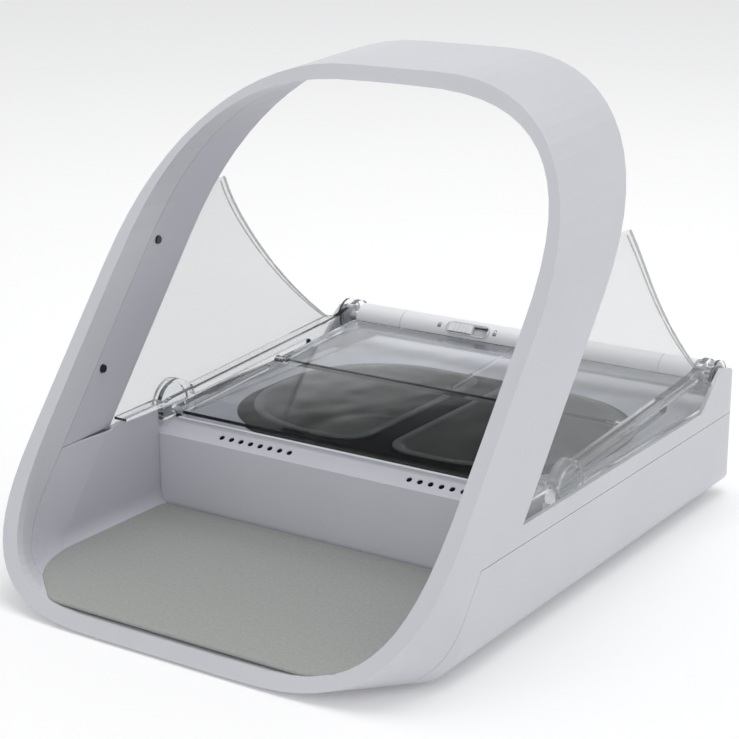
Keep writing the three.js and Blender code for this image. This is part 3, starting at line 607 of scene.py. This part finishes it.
def add_wing_rim(side_name, side):
    """The thickened rear edge of a wing: two fine beads that run together towards the heel."""
    curve = wing_edge(side_name)
    last = len(curve) - 1

    def shape(bm):
        for gap, radius in RIM_BEADS:
            path = []
            for i, point in enumerate(curve):
                along = (curve[min(i + 1, last)] - curve[max(i - 1, 0)]).normalized()
                forward = Vector((0, along.z, -along.y))
                spread = gap * (1 - RIM_CLOSING * i / last) * MM
                path.append(point + forward * spread + Vector((-side * RIM_INSIDE * MM, 0, 0)))
            tube(bm, path, [radius * MM] * (last + 1))

    make_piece(f"wing_rim_{side_name}", shape, MATERIALS["rim_clear"], "base")


# ---------------------------------------------------------------- barrel details
BARREL_LOW, BARREL_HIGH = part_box("barrel")
BARREL_Y = (BARREL_LOW[1] + BARREL_HIGH[1]) / 2
BARREL_Z = (BARREL_LOW[2] + BARREL_HIGH[2]) / 2
BARREL_RADIUS = (BARREL_HIGH[2] - BARREL_LOW[2]) / 2
SLIDER_TILT = math.radians(50)
SLIDER_X = -30
FRAME_OUTSIDE, FRAME_OPENING = (13.6, 4.0), (12.7, 3.1)
FRAME_SUNK, FRAME_PROUD = -0.4, 0.3
FRAME_ROUNDING = 0.15
WELL_HALF_LENGTH, WELL_HALF_WIDTH, WELL_COLUMNS = 12.6, 3.2, 8
WELL_UNDER, WELL_TOP = -2.75, -2.25


def on_barrel(x, along, proud):
    """A point on the barrel: along is the distance round it from the slider's middle line."""
    angle = SLIDER_TILT - along / BARREL_RADIUS
    radius = BARREL_RADIUS + proud
    return (x, BARREL_Y - radius * math.sin(angle), BARREL_Z + radius * math.cos(angle))


def stadium(half_length, half_width, steps=10):
    """A flat outline with two straight sides and round ends."""
    points = []
    for end in (1, -1):
        for step in range(steps + 1):
            angle = -math.pi / 2 + math.pi * step / steps
            points.append((
                end * (half_length - half_width + half_width * math.cos(angle)),
                end * half_width * math.sin(angle),
            ))
    return points


def wrapped_ring(bm, outer, inner, centre_x, low, high):
    """A raised ring between two outlines, wrapped on the barrel."""
    rings = [(outer, low), (outer, high), (inner, high), (inner, low)]
    rows = [
        [bm.verts.new(on_barrel(centre_x + u, v, proud)) for u, v in ring] for ring, proud in rings
    ]
    for low_row, high_row in zip(rows, rows[1:] + rows[:1]):
        for i in range(len(low_row)):
            j = (i + 1) % len(low_row)
            bm.faces.new((low_row[i], low_row[j], high_row[j], high_row[i]))


def wrapped_patch(bm, outline, centre_x, low, high):
    """A thin raised patch of an outline, wrapped on the barrel."""
    loft(bm, [
        [on_barrel(centre_x + u, v, proud) for u, v in outline] for proud in (low, high)
    ])


def add_slider_window():
    """The stadium-shaped frame and floor round the lock slider."""
    centre = SLIDER_X * MM
    white = MATERIALS["white_plastic"]

    def frame_shape(bm):
        outside = stadium(*(size * MM for size in FRAME_OUTSIDE))
        opening = stadium(*(size * MM for size in FRAME_OPENING))
        wrapped_ring(bm, outside, opening, centre, FRAME_SUNK * MM, FRAME_PROUD * MM)

    ring = make_piece("slider_frame", frame_shape, white, "lid_rear")
    soften(ring, FRAME_ROUNDING * MM)

    def floor_shape(bm):
        rows = [
            [
                (centre + end * WELL_HALF_LENGTH * MM, (i / WELL_COLUMNS * 2 - 1) * WELL_HALF_WIDTH * MM)
                for i in range(WELL_COLUMNS + 1)
            ]
            for end in (-1, 1)
        ]
        grid = [
            [bm.verts.new(on_barrel(x, v, proud * MM)) for x, v in row]
            for proud in (WELL_UNDER, WELL_TOP)
            for row in rows
        ]
        for i in range(WELL_COLUMNS):
            for a, b in ((0, 1), (3, 2), (2, 0), (1, 3)):
                bm.faces.new((grid[a][i], grid[a][i + 1], grid[b][i + 1], grid[b][i]))
        for i in (0, WELL_COLUMNS):
            bm.faces.new((grid[0][i], grid[1][i], grid[3][i], grid[2][i]))

    make_piece("slider_floor", floor_shape, white, "lid_rear")


PADLOCK_BODY = (-1.1, 1.1, -1.3, 0.5)
PADLOCK_CORNER = 0.4
SHACKLE_OUTSIDE, SHACKLE_INSIDE = 0.85, 0.5
SHACKLE_HEIGHT, SHACKLE_FOOT = 0.9, 0.4
SHACKLE_STEPS = 10
PRINT_SUNK, PRINT_PROUD = -0.02, 0.04


def add_lock_mark(name, centre_x, lift):
    """A small printed padlock; lift opens its shackle."""
    arc = [math.pi * step / SHACKLE_STEPS for step in range(SHACKLE_STEPS + 1)]

    def half_hoop(radius):
        rise = SHACKLE_HEIGHT + lift
        return [(radius * MM * math.cos(a), (rise + radius * math.sin(a)) * MM) for a in arc]

    def shape(bm):
        corners = [(PADLOCK_CORNER * MM, PADLOCK_CORNER * MM, 2)] * 4
        body = rounded_outline(*(edge * MM for edge in PADLOCK_BODY), corners, 3)
        closed_foot, raised_foot = SHACKLE_FOOT * MM, (SHACKLE_FOOT + lift) * MM
        left_foot = [(-SHACKLE_OUTSIDE * MM, closed_foot), (-SHACKLE_INSIDE * MM, closed_foot)]
        right_foot = [(SHACKLE_INSIDE * MM, raised_foot), (SHACKLE_OUTSIDE * MM, raised_foot)]
        inside = half_hoop(SHACKLE_INSIDE)[::-1]
        shackle = half_hoop(SHACKLE_OUTSIDE) + left_foot + inside + right_foot
        for outline in (body, shackle):
            wrapped_patch(bm, outline, centre_x, PRINT_SUNK * MM, PRINT_PROUD * MM)

    make_piece(name, shape, MATERIALS["mark_print"], "lid_rear")


# ---------------------------------------------------------------- ledge details
# The sloping ledge's lower and upper edge, in millimetres back and up.
LEDGE_LOW, LEDGE_HIGH = (-33.9, 44), (-24, 50)
VENT_CLIMB = 0.45
VENT_STARTS, VENT_PITCH, VENT_COUNT = (-70.1, 36.6), 5.7, 8
VENT_SHADE_RINGS = ((1.4, 2.2), (1.4, 0.5), (1.15, 0.38), (0.5, 0.34))  # radius and depth
VENT_SHADE_STEPS = 20


def add_vent_shade():
    """Black cups just inside the ledge's round holes: painted shade for the dark inside of the vents."""
    low, high = (Vector((0, y * MM, z * MM)) for y, z in (LEDGE_LOW, LEDGE_HIGH))
    slope = (high - low).normalized()
    normal = Vector((0, -slope.z, slope.y))
    middle = low.lerp(high, VENT_CLIMB)

    def shape(bm):
        for start in VENT_STARTS:
            for i in range(VENT_COUNT):
                centre = middle + Vector(((start + VENT_PITCH * i) * MM, 0, 0))
                rings = []
                for radius, depth in VENT_SHADE_RINGS:
                    rings.append([
                        centre - normal * depth * MM
                        + (Vector((math.cos(a), 0, 0)) + slope * math.sin(a)) * radius * MM
                        for a in (2 * math.pi * k / VENT_SHADE_STEPS for k in range(VENT_SHADE_STEPS))
                    ])
                loft(bm, rings)

    make_piece("vent_shade", shape, MATERIALS["painted_shade_black"], "base")


BEAD_SHORTER, BEAD_TAPER = 1.5, 1
BEAD_AHEAD, BEAD_UP = 0.25, 0.35
BEAD_RADIUS, BEAD_END_RADIUS = 0.5, 0.2


def add_lid_highlight_bead():
    """A thin white bead along the lid's front edge: painted highlight for the edge's bright line."""
    low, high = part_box("lid_front_panel")
    left, right = low[0] + BEAD_SHORTER * MM, high[0] - BEAD_SHORTER * MM
    taper = BEAD_TAPER * MM
    y, z = low[1] - BEAD_AHEAD * MM, low[2] + BEAD_UP * MM

    def shape(bm):
        path = [Vector((x, y, z)) for x in (left, left + taper, right - taper, right)]
        radii = (BEAD_END_RADIUS, BEAD_RADIUS, BEAD_RADIUS, BEAD_END_RADIUS)
        tube(bm, path, [radius * MM for radius in radii], 14)

    make_piece("lid_front_highlight_bead", shape, MATERIALS["painted_highlight_white"], "lid_front")


add_camera()
bpy.context.scene.view_settings.view_transform = "Standard"
add_world(front=0.58, back=1.02, dark_band=0.03)
LAMP_TARGET = (0, 0, 0.08)
add_area_light("key", (0.1, 0.4, 1.7), LAMP_TARGET, size=(1.2, 1.2), watts=9)
add_area_light("front", (0.1, -1.5, 1.1), LAMP_TARGET, size=(1.0, 0.8), watts=1.5)
add_floor()
finish_cad_nodes()
add_feeding_mat()
for bowl_name, bowl_side in (("bowl_left", -1), ("bowl_right", 1)):
    add_bowl(bowl_name, bowl_side)
add_bowl_well_shade()
for wing_name, wing_side in (("left", -1), ("right", 1)):
    add_wing_rim(wing_name, wing_side)
add_slider_window()
add_lock_mark("lock_mark_closed", -47.6 * MM, lift=0)
add_lock_mark("lock_mark_open", -13.4 * MM, lift=0.7)
add_vent_shade()
add_lid_highlight_bead()
